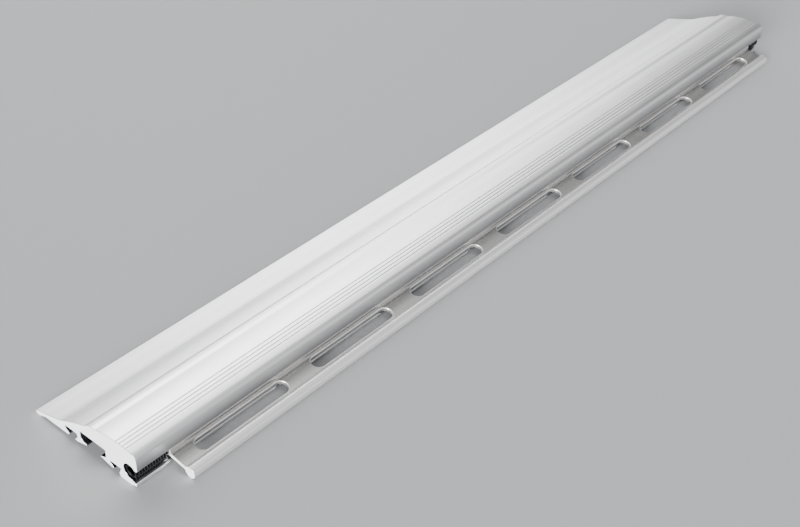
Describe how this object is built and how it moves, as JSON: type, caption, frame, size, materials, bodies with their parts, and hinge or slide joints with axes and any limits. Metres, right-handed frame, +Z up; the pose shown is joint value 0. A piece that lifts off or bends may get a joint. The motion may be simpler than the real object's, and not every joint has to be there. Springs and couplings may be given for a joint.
{
  "type": "ramped edge rail with slotted hinge strip",
  "caption": "Ramped aluminium edge rail with a domed top and underside channels, carrying a slotted hinge strip whose bead turns in a socket under the nose.",
  "frame": {"origin": "on the floor, at the middle of the part's length and width", "axes": "+X along the rail from the near cut end to the far one, +Y towards the feathered tip, +Z up"},
  "size_m": [0.3774, 0.0588, 0.0142],
  "materials": {
    "rail_aluminium": "satin, with fine lines along the extrusion",
    "strip_aluminium": "satin, with bright punched slot edges",
    "black_screw": "black oxide"
  },
  "bodies": {
    "rail": {"edge_rail": "rail_aluminium", "near_grub_screw": "black_screw", "far_grub_screw": "black_screw"},
    "strip": {"hinge_strip": "strip_aluminium"}
  },
  "joints": [
    {"name": "strip_swing", "type": "hinge", "parent": "rail", "child": "strip", "pos_m": [0.002, -0.01649, 0.0053], "axis": [-1, 0, 0], "range_deg": [-16, 38]}
  ]
}
